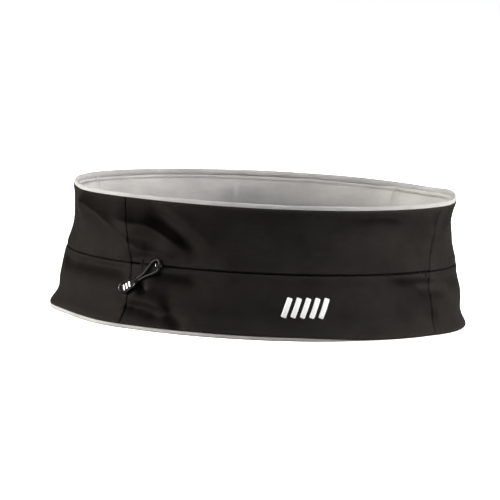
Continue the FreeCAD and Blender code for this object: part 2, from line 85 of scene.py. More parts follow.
# cloth
FABRIC = 0.95
LINING = 0.75
SEAM_ROLL = 1.1
SLIT_HALF = 0.62
HEM_ROLL = 2.6
HEM_TUCK = 1.3
HEM_DROP = 2.3
BAND_INSET = 1.7
LINING_BEHIND = 1.75
FOLD_FADE = 24.0
CLOTH_PITCH = 1.1
LINING_PITCH = 2.2
# distances from a panel's edge to its first grid lines
EDGE_STEPS = np.array([0, 0.15, 0.35, 0.6, 0.9, 1.3, 1.8, 2.4, 3.1])
# painted shade: the knit is painted darker on fold slopes that face up and to the right, where the
# folds turn away from the light
PAINTED_SHADE_TURN = math.radians(52.0)

# zip, slider and pull, at their places and sizes in the CAD model
SLIDER_ANGLE = -31.7
CORD = 1.6
CORD_HEIGHT = 1.55
PULL_DIRECTION = 217.0
PULL_TILT = 2.5
THROAT = 21.4
TAPE_END_ANGLE = 36.5
TACK_ANGLE = 36.0
TACK_HALF_HEIGHT = 3.7
TACK_HALF_WIDTH = 0.95
COIL_DEPTH = 3
COIL_PITCH = 1.27
COIL_WIDE = 0.62
COIL_TALL = 0.44
FILAMENT = 0.36
# the cord's loop in its own plane, in metres from the slider's bridge
CORD_ROUTE = [
    (0.0214, 0.00085), (0.0162, 0.00085), (0.0102, 0.0019), (0.0049, 0.003), (0.00155, 0.00205),
    (-0.00195, -0.0026), (-0.0012, -0.0053), (0.0033, -0.0056), (0.0094, -0.0032),
    (0.0156, -0.00085), (0.0214, -0.00085),
]


# -------------------- camera, light and floor

CAMERA_TURN = -13.21
CAMERA_RISE = 7.92
CAMERA_ROLL = 3.51
CAMERA_DISTANCE = 2.7252
CAMERA_LENS = 241.3
CAMERA_SHIFT = (-0.02544, 0.00175)

WHITE = (1.0, 1.0, 1.0)
# name, place, size and power of each soft box in metres and watts, and its colour
SOFT_BOXES = [
    ("left_softbox", (-1.5, -0.1, 0.3), (0.4, 0.5), 58, (1.0, 0.94, 0.86)),
    ("right_softbox", (1.5, -0.4, 0.4), (0.4, 0.5), 62, (1.0, 0.95, 0.9)),
    ("front_softbox", (0.4, -1.6, 0.4), (1.2, 0.8), 4, WHITE),
    ("top_softbox", (-0.3, -0.9, 1.6), (0.7, 0.5), 13, WHITE),
    ("back_softbox", (0.5, 1.7, 0.7), (1.0, 0.6), 16, WHITE),
]


def make_camera():
    """Camera at the photograph's viewing angle, aimed at the middle of the belt."""
    turn, rise, roll = (math.radians(a) for a in (CAMERA_TURN, CAMERA_RISE, CAMERA_ROLL))
    back = Vector(
        (math.sin(turn) * math.cos(rise), -math.cos(turn) * math.cos(rise), math.sin(rise))
    )
    right = Vector((math.cos(turn), math.sin(turn), 0))
    up = back.cross(right)
    tilted_right = math.cos(roll) * right + math.sin(roll) * up
    tilted_up = math.cos(roll) * up - math.sin(roll) * right
    data = bpy.data.cameras.new("camera")
    data.lens = CAMERA_LENS
    data.sensor_width = 36.0
    data.shift_x, data.shift_y = CAMERA_SHIFT
    data.clip_end = 20.0
    camera = bpy.data.objects.new("camera", data)
    bpy.context.collection.objects.link(camera)
    middle = Vector((0, 0, BELT_HEIGHT * MM / 2))
    turned = Matrix((tilted_right, tilted_up, back)).transposed().to_4x4()
    camera.matrix_world = Matrix.Translation(middle + CAMERA_DISTANCE * back) @ turned
    bpy.context.scene.camera = camera


def make_light(name, position, target, size, power, colour):
    """Rectangular area light that faces its target."""
    data = bpy.data.lights.new(name, "AREA")
    data.shape = "RECTANGLE"
    data.size, data.size_y = size
    data.energy = power
    data.color = colour
    light = bpy.data.objects.new(name, data)
    light.location = position
    ahead = Vector(target) - Vector(position)
    light.rotation_euler = ahead.to_track_quat("-Z", "Y").to_euler()
    bpy.context.collection.objects.link(light)


def camera_or_light(tree, for_light, for_camera):
    """Number with one value for the camera's rays and another for the light that bounces."""
    seen = tree.nodes.new("ShaderNodeLightPath").outputs["Is Camera Ray"]
    choice = tree.nodes.new("ShaderNodeMapRange")
    choice.inputs["To Min"].default_value = for_light
    choice.inputs["To Max"].default_value = for_camera
    tree.links.new(seen, choice.inputs["Value"])
    return choice.outputs["Result"]


def make_stage():
    """Pale floor and surround, with soft boxes at both sides, in front, above and behind.

    Floor and surround are paler to the camera than to the belt, so that the black cloth
    keeps its folds."""
    world = bpy.data.worlds.new("studio")
    bpy.context.scene.world = world
    world.use_nodes = True
    tree = world.node_tree
    background = tree.nodes["Background"]
    background.inputs["Color"].default_value = (0.95, 0.97, 1.0, 1)
    strength = camera_or_light(tree, for_light=0.12, for_camera=1.0)
    tree.links.new(strength, background.inputs["Strength"])
    belt_middle = (0, 0, 0.05)
    for name, position, size, power, colour in SOFT_BOXES:
        make_light(name, position, belt_middle, size, power, colour)
    make_light("overhead", (0, 0, 3.5), (0, 0, 0), (10, 10), 56, WHITE)
    bpy.ops.mesh.primitive_plane_add(size=30)
    floor = bpy.context.object
    floor.name = "floor"
    material = bpy.data.materials.new("floor")
    material.use_nodes = True
    tree = material.node_tree
    shader = tree.nodes["Principled BSDF"]
    shader.inputs["Roughness"].default_value = 0.7
    tone = camera_or_light(tree, for_light=0.22, for_camera=0.88)
    tree.links.new(tone, shader.inputs["Base Color"])
    glow = camera_or_light(tree, for_light=0.0, for_camera=0.8)
    tree.links.new(glow, shader.inputs["Emission Strength"])
    shader.inputs["Emission Color"].default_value = (1, 1, 1, 1)
    floor.data.materials.append(material)
    bpy.context.scene.view_settings.view_transform = "Standard"


# -------------------- mesh helpers


def add_piece(name, material, points, faces, uv):
    """Mesh object from points in millimetres. uv gives each point's place on the cloth."""
    mesh = bpy.data.meshes.new(name)
    mesh.from_pydata((np.asarray(points) * MM).tolist(), [], faces)
    mesh.polygons.foreach_set("use_smooth", np.ones(len(mesh.polygons), bool))
    layer = mesh.uv_layers.new(name="cloth")
    corner = np.empty(len(mesh.loops), np.int32)
    mesh.loops.foreach_get("vertex_index", corner)
    layer.data.foreach_set("uv", np.asarray(uv, np.float32)[corner].ravel())
    mesh.materials.append(material)
    mesh.update()
    piece = bpy.data.objects.new(name, mesh)
    bpy.context.collection.objects.link(piece)
    return piece


def grid_faces(index, flipped=False):
    """Quads between neighbours of a grid of vertex numbers."""
    quads = np.stack([index[:-1, :-1], index[:-1, 1:], index[1:, 1:], index[1:, :-1]], axis=-1)
    quads = quads.reshape(-1, 4)
    return (quads[:, ::-1] if flipped else quads).tolist()


def sheet(outer, inner, uv):
    """Points, faces and uv of a closed sheet from two grids, rows upwards, columns rightwards."""
    rows, columns = outer.shape[:2]
    front = np.arange(rows * columns).reshape(rows, columns)
    back = front + rows * columns
    faces = grid_faces(front) + grid_faces(back, flipped=True)
    faces += grid_faces(np.stack([back[0], front[0]]))
    faces += grid_faces(np.stack([front[-1], back[-1]]))
    faces += grid_faces(np.stack([front[:, 0], back[:, 0]]))
    faces += grid_faces(np.stack([back[:, -1], front[:, -1]]))
    points = np.vstack([outer.reshape(-1, 3), inner.reshape(-1, 3)])
    return points, faces, np.vstack([uv.reshape(-1, 2)] * 2)


def ring_index(rings, count):
    """Vertex numbers of rings that follow each other, each ring's first number repeated."""
    index = np.arange(rings * count).reshape(rings, count)
    return np.hstack([index, index[:, :1]])


def ring_faces(rings, count, flipped=False):
    """Faces of a closed solid made of rings that follow each other."""
    index = ring_index(rings, count)
    first, last = index[0, :-1], index[-1, :-1]
    ends = (first, last[::-1]) if flipped else (first[::-1], last)
    return grid_faces(index, flipped) + [end.tolist() for end in ends]


def walked_along(path):
    """Distance from the first point of a path to each of its points."""
    steps = np.linalg.norm(np.diff(path, axis=0), axis=1)
    return np.concatenate([[0], np.cumsum(steps)])


def ring_frames(path):
    """Two cross directions at each point of a path, without sudden twist."""
    tangent = np.gradient(path, axis=0)
    tangent /= np.linalg.norm(tangent, axis=1, keepdims=True)
    start = np.array([0.0, 0.0, 1.0]) if abs(tangent[0, 2]) < 0.9 else np.array([1.0, 0.0, 0.0])
    side = np.empty_like(path)
    side[0] = np.cross(tangent[0], start)
    for i in range(1, len(path)):
        side[i] = side[i - 1] - tangent[i] * (side[i - 1] @ tangent[i])
        side[i] /= np.linalg.norm(side[i])
    side[0] /= np.linalg.norm(side[0])
    return side, np.cross(tangent, side)


def tube_mesh(path, radius, sides):
    """Points, faces and uv of a tube. radius is a number, one per ring, or rings by sides."""
    side, up = ring_frames(path)
    angle = np.arange(sides) * 2 * np.pi / sides
    if np.ndim(radius) == 1:
        radius = radius[:, None]
    reach = np.broadcast_to(radius, (len(path), sides))[..., None]
    points = (
        path[:, None]
        + reach * np.cos(angle)[None, :, None] * side[:, None]
        + reach * np.sin(angle)[None, :, None] * up[:, None]
    )
    uv = np.stack(np.broadcast_arrays(angle / (2 * np.pi), walked_along(path)[:, None]), axis=-1)
    faces = ring_faces(len(path), sides, flipped=True)
    return points.reshape(-1, 3), faces, uv.reshape(-1, 2)


class Gathered:
    """Many small shapes collected into one piece."""

    def __init__(self):
        self.points, self.faces, self.uv = [], [], []
        self.count = 0

    def add(self, points, faces, uv):
        self.points.append(points)
        self.uv.append(uv)
        self.faces += [[corner + self.count for corner in face] for face in faces]
        self.count += len(points)

    def piece(self, name, material):
        return add_piece(name, material, np.vstack(self.points), self.faces, np.vstack(self.uv))


def stitch(path, radius):
    """One visible stitch of thread, thin where it dives into the cloth."""
    along = np.linspace(0, 1, len(path))
    return tube_mesh(path, radius * (0.35 + 0.65 * np.sin(np.pi * along) ** 0.5), 6)


def spaced(low, high, pitch):
    """Positions from low to high, a pitch apart, and closer near both ends."""
    near = EDGE_STEPS
    count = max(1, round((high - low - 2 * near[-1]) / pitch))
    middle = np.linspace(low + near[-1], high - near[-1], count + 1)
    return np.concatenate([low + near[:-1], middle, high - near[-2::-1]])


def smooth(low, high, value):
    """0 below low, 1 above high, and an even rise between them."""
    t = np.clip((value - low) / (high - low), 0, 1)
    return t * t * (3 - 2 * t)


def hump(value, middle, width):
    """1 at the middle, falling away evenly on both sides."""
    return np.exp(-(((value - middle) / width) ** 2))


# -------------------- the belt's wall

# Folds of the outer layer, as the cloth takes them when worn. Each line runs through points
# (distance along the girth from the front's middle, height above the ground), then comes its
# height out of the wall, its softness below and above the line, and the shape of its upper
# slope: 2 is round, as when left out, and 1 falls from a sharp crest.
FOLDS = [
    # sharp crease from the top left corner down to the seam, then on towards the slider
    ([(-230, 95), (-207, 92.5), (-193, 90), (-181, 86.5), (-165, 79), (-151, 71.5), (-122, 57)],
     5.4, 11.5, 24, 1),
    ([(-141, 62), (-133, 61), (-126, 61.5), (-114, 60), (-98, 55.5)], 1.8, 5, 8, 1.3),
    # ridge that starts at the seam, its dark far slope and the next ridge beside it
    ([(-168, 85), (-140, 82), (-130, 82.5), (-121, 79.5), (-108, 73), (-86, 62)], 2.8, 8, 14, 1),
    ([(-130, 101), (-117, 89.5), (-102, 82.5), (-92, 75), (-74, 62)], -2.0, 10, 5),
    ([(-118, 99), (-102, 90.5), (-86, 80), (-62, 65)], 1.5, 6, 15, 1),
    # hollow under the seam of the left side
    ([(-250, 44.5), (-195, 45.5), (-163, 46), (-128, 46.5)], -1.9, 8, 2.2),
    # hollow beside the slider, under its cord, and the creases below the grip
    ([(-126, 46.5), (-103, 47), (-72, 45.5)], -1.9, 7, 2.2),
    ([(-133, 39), (-127, 34), (-123, 29)], -1.8, 3, 3),
    ([(-145, 22.5), (-131, 23.5), (-119, 22.5), (-100, 17)], 2.2, 3.2, 10),
    ([(-143, 17.5), (-129, 18.5), (-117, 16), (-104, 12.5)], -1.5, 6, 2.4),
    ([(-107, 22), (-97, 14), (-86, 5)], -1.8, 8, 5),
    # streaks near the top right corner
    ([(44, 95), (79, 97), (114, 94)], -1.1, 4.5, 3.0),
    ([(120, 60), (131, 71), (140, 86), (147, 98)], 0.9, 8, 8),
    # pull of the zip's end towards the right seam
    ([(80, 50), (114, 48.5), (156, 46)], -1.5, 6, 2.0),
    ([(108, 40), (130, 37.5), (166, 34)], -0.9, 6, 2.8),
    ([(90, 29), (118, 20), (146, 7)], 1.0, 9, 10),
    # right side and back, gathered a little by the elastic
    ([(148, 72), (172, 82), (206, 93)], 1.2, 10, 7),
    ([(146, 46), (190, 45), (250, 43)], -0.9, 8, 3.0),
    ([(250, 78), (290, 70), (322, 60)], 2.0, 8, 8),
    ([(262, 90), (296, 84), (326, 74)], -2.0, 7, 8),
    ([(-326, 66), (-296, 74), (-262, 86)], 2.0, 8, 8),
    ([(-330, 26), (-300, 21), (-268, 18)], -1.5, 7, 4),
    ([(336, 30), (372, 24), (404, 22)], 1.5, 5, 7),
    ([(352, 88), (392, 80), (430, 72)], -1.9, 7, 9),
    ([(-440, 62), (-400, 70), (-356, 84)], 1.8, 9, 8),
    ([(-420, 40), (-392, 37), (-352, 38)], -1.4, 7, 3.5),
]
SEAM_CURVES = {"left": (38.4, 35.0, 0.0012), "right": (36.7, 30.0, 0.0014)}


def seam_angle(side, z):
    """Direction of a front side seam, which swings outwards towards the top edge."""
    least, middle, bend = SEAM_CURVES[side]
    return least + bend * (z - middle) ** 2


def oval(angle):
    """Centre and radius of the arc that faces each direction, in degrees from the front."""
    turn = (angle + 180) % 360 - 180
    front = np.abs(turn) <= SEAM_ANGLE
    back = np.abs(turn) >= 180 - SEAM_ANGLE
    middle = ~(front | back)
    centre_x = np.where(middle, np.sign(turn) * SIDE_CENTRE, 0.0)
    centre_y = np.where(front, FRONT_CENTRE, np.where(back, -FRONT_CENTRE, 0.0))
    return centre_x, centre_y, np.where(middle, SIDE_RADIUS, FRONT_RADIUS)


def girth(angle):
    """Distance round the lower edge from the front's middle, to the right."""
    turn = (angle + 180) % 360 - 180
    size = np.abs(turn)
    distance = np.radians(
        np.minimum(size, SEAM_ANGLE) * FRONT_RADIUS
        + np.clip(size - SEAM_ANGLE, 0, 180 - 2 * SEAM_ANGLE) * SIDE_RADIUS
        + np.clip(size - 180 + SEAM_ANGLE, 0, None) * FRONT_RADIUS
    )
    return np.sign(turn) * distance


def lean(z):
    """How far the wall stands in from the lower edge: a cone, then the hollow of the waist."""
    hollow = WAIST_X - np.sqrt(WAIST_RADIUS**2 - (z - WAIST_Z) ** 2)
    return np.where(z < SHELF_Z, -(z - HEM_Z) * math.tan(SLOPE), hollow)


def fold(distance, z, points, height, below, above, slope=2):
    """One ridge or crease along a line of points, fading out at both ends."""
    nearest = np.full(distance.shape, np.inf)
    upper = np.zeros(distance.shape, bool)
    along = np.zeros(distance.shape)
    runs = [math.dist(a, b) for a, b in zip(points, points[1:])]
    walked = 0.0
    for (x0, z0), (x1, z1), run in zip(points, points[1:], runs):
        dx, dz = (x1 - x0) / run, (z1 - z0) / run
        t = np.clip((distance - x0) * dx + (z - z0) * dz, 0, run)
        off_x, off_z = distance - x0 - t * dx, z - z0 - t * dz
        off = np.hypot(off_x, off_z)
        closer = off < nearest
        nearest = np.where(closer, off, nearest)
        upper = np.where(closer, dx * off_z - dz * off_x > 0, upper)
        along = np.where(closer, walked + t, along)
        walked += run
    total = sum(runs)
    end = min(0.3 * total, FOLD_FADE)
    fade = smooth(0, end, along) * smooth(0, end, total - along)
    steep = np.where(upper, slope, 2)
    return height * fade * np.exp(-((nearest / np.where(upper, above, below)) ** steep))


def ripple(distance, z, length, seed, stretch=2.2):
    """Even, random-looking waves of about the given length, drawn out along the girth."""
    draw = np.random.default_rng(seed)
    total = np.zeros(distance.shape)
    for _ in range(7):
        heading = draw.uniform(0, np.pi)
        wave = length * draw.uniform(0.7, 1.5)
        phase = draw.uniform(0, 2 * np.pi)
        across = distance * np.cos(heading) / stretch + z * np.sin(heading)
        total += np.sin(2 * np.pi * across / wave + phase)
    return total / 7 ** 0.5


def fold_lines(angle, z):
    """All the folds of FOLDS, at their full height."""
    distance = girth(angle)
    return sum(fold(distance, z, *line) for line in FOLDS)


def relief(angle, z):
    """How far the outer layer stands out of the plain wall: hem flare, folds and puckers."""
    distance = girth(angle)
    # flare of the hem and hollows of the sides
    on_side = smooth(130, 165, np.abs(distance)) * smooth(130, 165, HALF_GIRTH - np.abs(distance))
    on_right = on_side * (distance > 0)
    shape = -(1.6 + 0.9 * on_side) * hump(z, 15, 8.5) - 1.2 * on_side * hump(z, 70, 14)
    shape += 1.9 * on_side * hump(z, 3, 6.5) - 2.6 * on_right * hump(z, 89, 9)
    # waves over the whole cloth, then puckers beside the upright seams and along the middle
    folds = 0.5 * ripple(distance, z, 46, 1) + 0.07 * ripple(distance, z, 15, 2, stretch=3.5)
    folds += 0.025 * ripple(distance, z, 6, 3, stretch=2.5)
    for sign, side in ((-1, "left"), (1, "right")):
        for direction in (sign * seam_angle(side, z), 180 - sign * seam_angle(side, z)):
            off = distance - girth(direction) + HALF_GIRTH
            off = np.abs(off % (2 * HALF_GIRTH) - HALF_GIRTH)
            beat = np.sin(2 * np.pi * z / 8.5 + 2.2 * np.sin(z / 9 + sign))
            folds += 0.34 * beat * np.exp(-off / 6.5) * smooth(0, 2, off)
    gap = np.abs(z - ZIP_Z)
    folds += 0.2 * np.sin(distance / 1.9 + 2 * np.sin(distance / 23)) * np.exp(-gap / 5)
    # all of them die out towards the zip, the seam round the sides and the edges
    on_zip = 1 - smooth(136, 148, np.abs(distance))
    calm = on_zip * smooth(3.0, 9.5, gap) + (1 - on_zip) * smooth(0.3, 4.5, gap)
    edges = 0.2 + 0.8 * smooth(0, 9, np.minimum(z - HEM_Z, TOP_Z - z))
    return shape + (fold_lines(angle, z) + folds) * calm * edges


def rise(angle, z):
    """How far the cloth is pulled up or down: its top corners, and its hem on the right."""
    distance = girth(angle)
    # each top corner's pull: how far, where along the girth and how wide
    corners = 2.4 * hump(distance, 238, 30) - 1.2 * hump(distance, -215, 42)
    hem = band_rise(angle) - HEM_DROP * hem_drop(angle)
    return corners * smooth(70, TOP_Z, z) + hem * (1 - smooth(HEM_Z, 30, z))


def hem_drop(angle):
    """Where the cloth hangs over the lower edge band: 1 on the right, 0 on the left."""
    distance = girth(angle)
    return smooth(-10, 90, distance) * (1 - smooth(250, 330, distance))


def band_rise(angle):
    """How far the lower edge lifts off the ground, at the belt's left corner."""
    return 2.4 * hump(girth(angle), -205, 38)


def wall(angle, z, out):
    """Points on the belt's wall, out being measured from the CAD model's outer face."""
    centre_x, centre_y, radius = oval(angle)
    reach = radius + lean(z) + out
    turn = np.radians(angle)
    x = centre_x + reach * np.sin(turn)
    y = centre_y - reach * np.cos(turn)
    return np.stack([x, y, np.broadcast_to(z + rise(angle, z), x.shape)], axis=-1)


def rolled(distance, width, depth):
    """Depth of an edge that is turned under, at a distance from it."""
    return depth * (1 - np.sqrt(1 - np.clip(1 - distance / width, 0, 1) ** 2))


SIDES = {
    "front": (lambda z: -seam_angle("left", z), lambda z: seam_angle("right", z)),
    "right": (lambda z: seam_angle("right", z), lambda z: 180 - seam_angle("right", z)),
    "back": (lambda z: 180 - seam_angle("right", z), lambda z: 180 + seam_angle("left", z)),
    "left": (lambda z: 180 + seam_angle("left", z), lambda z: 360 - seam_angle("left", z)),
}
PANEL_WIDTH = {
    "front": FRONT_WIDTH, "right": SIDE_WIDTH, "back": FRONT_WIDTH, "left": SIDE_WIDTH,
}


def panel_grid(side, low, high, pitch):
    """Directions and heights of a panel's grid, with the distance along each row."""
    across = spaced(0, PANEL_WIDTH[side], pitch)
    z = spaced(low, high, pitch)[:, None]
    first, last = (edge(z) for edge in SIDES[side])
    angle = first + (last - first) * across[None, :] / PANEL_WIDTH[side]
    return angle, np.broadcast_to(z, angle.shape), np.broadcast_to(across, angle.shape)


def add_shade(piece, name, values):
    """Gives both faces of a sheet a number at each point, for its material to read."""
    values = np.concatenate([values.ravel()] * 2).astype(np.float32)
    piece.data.attributes.new(name, "FLOAT", "POINT").data.foreach_set("value", values)


def outer_panel(side, half, material):
    """Half of the outer layer on one side, with its edges turned in along every seam."""
    on_zip = side == "front"
    slit = SLIT_HALF if on_zip else 0.0
    low, high = (HEM_Z, ZIP_Z - slit) if half == "lower" else (ZIP_Z + slit, TOP_Z)
    angle, z, across = panel_grid(side, low, high, CLOTH_PITCH)
    to_seam = np.minimum(across, PANEL_WIDTH[side] - across)
    to_hem, to_middle = (z - low, high - z) if half == "lower" else (high - z, z - low)
    tuck = np.maximum.reduce([
        rolled(to_seam, SEAM_ROLL, SEAM_ROLL) * (0.3 + 0.7 * smooth(0, 6, to_hem)),
        rolled(to_middle, SEAM_ROLL, 0.9 if on_zip else SEAM_ROLL),
        rolled(to_hem, HEM_ROLL, HEM_TUCK),
    ])
    shape = relief(angle, z)
    outer = shape - tuck
    inner = np.minimum(shape - FABRIC - 0.4 * tuck, outer - 0.35)
    mesh = sheet(wall(angle, z, outer), wall(angle, z, inner), np.stack([across, z], axis=-1))
    piece = add_piece(f"{side}_{half}_cloth", material, *mesh)
    # rubbed along the hem, and a little along the seams
    to_edge = np.minimum(to_seam, to_middle)
    add_shade(piece, "wear", np.exp(-to_hem / 2.5) + 0.15 * np.exp(-to_edge / 1.5))
    # painted shade on the slopes of the folds, kept in the cloth's shade attribute for the knit to
    # darken
    folds = fold_lines(angle, z)
    along_slope = np.gradient(folds, across[0], axis=1)
    up_slope = np.gradient(folds, z[:, 0], axis=0)
    painted_shade = -math.cos(PAINTED_SHADE_TURN) * along_slope - math.sin(PAINTED_SHADE_TURN) * up_slope
    painted_shade *= smooth(0.5, 3.5, to_middle)
    # painted shade in the narrow gaps of the upright seams, stronger on the left, and in the seam
    # round the middle away from the zip
    seam_painted_shade = np.where(girth(angle) < 0, 0.2, 0.08)
    painted_shade += seam_painted_shade * np.exp(-((to_seam / 0.8) ** 2))
    if not on_zip:
        painted_shade += 0.2 * np.exp(-((to_middle / 0.8) ** 2))
    add_shade(piece, "painted_shade", painted_shade)
    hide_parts(f"{side}_{half}_panel")
    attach(piece, "belt")


def lining_line(angle, z):
    """The lining's outer face: near the outer layer at both edges, and a slider's depth
    behind the zip."""
    heights, depths = (HEM_Z, 46.5, 55.5, 82.0, TOP_Z), (1.5, 4.9, 4.9, 1.6, 1.5)
    return np.minimum(-np.interp(z, heights, depths), relief(angle, z) - LINING_BEHIND)


def lining(side, face, pocket_painted_shade):
    """Inner layer, light on the wearer's side, with painted shade on the pocket's side: black
    there for the dark inside of the closed pocket.
    """
    angle, z, across = panel_grid(side, HEM_Z + 0.6, TOP_Z - 0.6, LINING_PITCH)
    to_seam = np.minimum(across, PANEL_WIDTH[side] - across)
    outer = lining_line(angle, z) - 0.25 + 0.25 * smooth(0, 5, to_seam)
    outer -= 0.05 * ripple(girth(angle), z, 11, 5)
    inner = outer - LINING + 0.35 * rolled(to_seam, SEAM_ROLL, SEAM_ROLL)
    mesh = sheet(wall(angle, z, outer), wall(angle, z, inner), np.stack([across, z], axis=-1))
    piece = add_piece(f"{side}_inner_cloth", face, *mesh)
    piece.data.materials.append(pocket_painted_shade)
    # the faces towards the pocket get the black cloth as painted shade
    outward = (z.shape[0] - 1) * (z.shape[1] - 1)
    turned_out = np.arange(len(piece.data.polygons)) < outward
    piece.data.polygons.foreach_set("material_index", turned_out.astype(np.int32))
    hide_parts(f"{side}_lining")
    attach(piece, "belt")


def edge_band(name, node, seam_z, outward, material):
    """Folded elastic band along an edge. outward is -1 below the lower edge, 1 above the top."""
    angle = np.arange(0, 360, 0.45)
    # cross-section of the fold, clockwise: depth into the belt, height out of the edge
    section = [
        (1.15, -2.2), (1.1, 0.2), (1.0, 1.2), (1.05, 2.0), (1.25, 2.55), (1.6, 2.9), (2.05, 3.0),
        (2.5, 2.85), (2.8, 2.45), (2.9, 1.9), (2.95, 0.9), (2.9, -2.2),
    ]
    edge = relief(angle, np.full(angle.shape, seam_z))
    if outward < 0:
        # the band turns in under the hem where the cloth hangs over it
        edge = edge - BAND_INSET * hem_drop(angle)
    wobble = 0.12 * ripple(girth(angle), np.zeros(angle.shape), 30, 8)
    rows = []
    for depth, height in section:
        z = seam_z + outward * (height + wobble * max(height, 0) / 3)
        rows.append(wall_at(angle, seam_z, z, edge - depth))
    index = ring_index(len(section), len(angle))
    index = np.vstack([index, index[:1]])
    walked = walked_along(np.array(section))
    uv = np.stack(np.broadcast_arrays(girth(angle)[None], walked[:, None]), axis=-1)
    faces = grid_faces(index, flipped=outward < 0)
    piece = add_piece(name, material, np.vstack(rows), faces, uv.reshape(-1, 2))
    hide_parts(node)
    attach(piece, "belt")


def wall_at(angle, level, z, out):
    """Points at height z over the wall's line at another level."""
    points = wall(angle, np.full(angle.shape, float(level)), out)
    points[..., 2] = z + (rise(angle, TOP_Z) if level > ZIP_Z else band_rise(angle))
    return points


# -------------------- materials


class Shader:
    """A material under construction."""

    def __init__(self, name):
        self.material = bpy.data.materials.new(name)
        self.material.use_nodes = True
        self.tree = self.material.node_tree
        self.principled = self.tree.nodes["Principled BSDF"]

    def node(self, kind, inputs=None, **settings):
        made = self.tree.nodes.new(kind)
        for key, value in settings.items():
            setattr(made, key, value)
        for key, value in (inputs or {}).items():
            self.connect(value, made.inputs[key])
        return made

    def connect(self, value, socket):
        if isinstance(value, bpy.types.NodeSocket):
            self.tree.links.new(value, socket)
        else:
            socket.default_value = value

    def maths(self, operation, *values):
        made = self.node("ShaderNodeMath", dict(enumerate(values)), operation=operation)
        return made.outputs[0]

    def noise(self, place, scale, detail=3.0, roughness=0.55):
        inputs = {"Vector": place, "Scale": scale, "Detail": detail, "Roughness": roughness}
        return self.node("ShaderNodeTexNoise", inputs).outputs["Fac"]

    def wave(self, value, rate):
        return self.maths("SINE", self.maths("MULTIPLY", value, rate))

    def clamp(self, value):
        return self.node("ShaderNodeClamp", {0: value}).outputs[0]

    def between(self, amount, low, high):
        """Number that goes from low to high with an amount from 0 to 1."""
        return self.maths("ADD", self.maths("MULTIPLY", amount, high - low), low)

    def mixed(self, amount, low, high):
        """Colour that goes from low to high with an amount from 0 to 1."""
        mix = self.node("ShaderNodeMix", data_type="RGBA")
        self.connect(amount, mix.inputs["Factor"])
        self.connect(low, mix.inputs[6])
        self.connect(high, mix.inputs[7])
        return mix.outputs[2]

    def attribute(self, name):
        return self.node("ShaderNodeAttribute", attribute_name=name).outputs["Fac"]

    def scaled(self, place, scale):
        return self.node("ShaderNodeMapping", {0: place, "Scale": scale}).outputs[0]

    def place(self):
        """Position on the object, in metres."""
        return self.node("ShaderNodeTexCoord").outputs["Object"]

    def cloth_place(self):
        """Position on the cloth: along and up, in millimetres."""
        uv = self.node("ShaderNodeUVMap", uv_map="cloth").outputs["UV"]
        parts = self.node("ShaderNodeSeparateXYZ", {0: uv})
        return uv, parts.outputs["X"], parts.outputs["Y"]

    def finish(self, values):
        for key, value in values.items():
            self.connect(value, self.principled.inputs[key])
        return self.material

    def bump(self, height, distance, strength=1.0, under=None):
        inputs = {"Height": height, "Distance": distance, "Strength": strength}
        if under is not None:
            inputs["Normal"] = under
        return self.node("ShaderNodeBump", inputs).outputs["Normal"]


def grey(level, warm=0.0):
    """Linear colour from a screen level of 0 to 255, warmer or cooler."""
    value = (level / 255) ** 2.2
    return (value * (1 + warm), value, value * (1 - warm), 1)


def knit(name, dark, light, wale, course, depth, roughness, sheen, worn, gloss=0.1):
    """Weft knit: columns of V-shaped loops, cloudy dye, a soft sheen and rubbed edges. It carries
    painted shade: it is painted nearly black, with less sheen and gloss, where the cloth's shade
    attribute is high."""
    shader = Shader(name)
    uv, along, up = shader.cloth_place()
    column = shader.maths("PINGPONG", along, wale / 2)
    across = shader.maths("DIVIDE", column, wale / 2)
    slanted = shader.maths("MULTIPLY_ADD", across, course * 0.9, up)
    loops = shader.maths("MULTIPLY_ADD", shader.wave(slanted, 2 * math.pi / course), 0.5, 0.5)
    column_round = shader.maths("MULTIPLY", shader.wave(across, math.pi), 0.6)
    height = shader.maths("MULTIPLY_ADD", loops, 0.55, column_round)
    clouds = shader.noise(uv, 0.03, 4.0)
    flecks = shader.noise(uv, 0.9, 2.0)
    slub = shader.noise(shader.scaled(uv, (0.05, 1.6, 1)), 1.0)
    shade = shader.maths("MULTIPLY_ADD", clouds, 0.9, -0.2)
    for pattern, gain, offset in ((flecks, 0.35, -0.17), (slub, 0.4, -0.2), (loops, 0.25, -0.12)):
        shade = shader.maths("ADD", shade, shader.maths("MULTIPLY_ADD", pattern, gain, offset))
    colour = shader.mixed(shader.clamp(shade), dark, light)
    patches = shader.maths("MULTIPLY", shader.noise(uv, 0.35), 0.5)
    rubbed = shader.maths("MULTIPLY", shader.attribute("wear"), patches)
    colour = shader.mixed(rubbed, colour, worn)
    # painted shade: the colour goes nearly black, and sheen and gloss fade, where this attribute
    # is high
    painted_shade = shader.attribute("painted_shade")
    painted_shade_amount = shader.node("ShaderNodeMapRange", {
        "Value": painted_shade, "From Min": 0.0, "From Max": 0.24, "To Min": 0.0, "To Max": 0.88,
    }).outputs["Result"]
    colour = shader.mixed(painted_shade_amount, colour, (0.001, 0.001, 0.0008, 1))
    outside_painted_shade = shader.maths("SUBTRACT", 1.0, painted_shade_amount)
    rough = shader.between(flecks, roughness - 0.08, roughness + 0.1)
    soft = shader.bump(shader.noise(uv, 0.22, 3.0), 0.0007, 0.25)
    normal = shader.bump(height, depth * MM, 0.8, soft)
    return shader.finish({
        "Base Color": colour,
        "Roughness": rough,
        "Normal": normal,
        "Sheen Weight": shader.maths("MULTIPLY", outside_painted_shade, sheen),
        "Sheen Roughness": 0.4,
        "Sheen Tint": (1.0, 0.95, 0.9, 1),
        "Specular IOR Level": shader.maths("MULTIPLY", outside_painted_shade, gloss),
        "Specular Tint": (1.0, 0.95, 0.89, 1),
    })


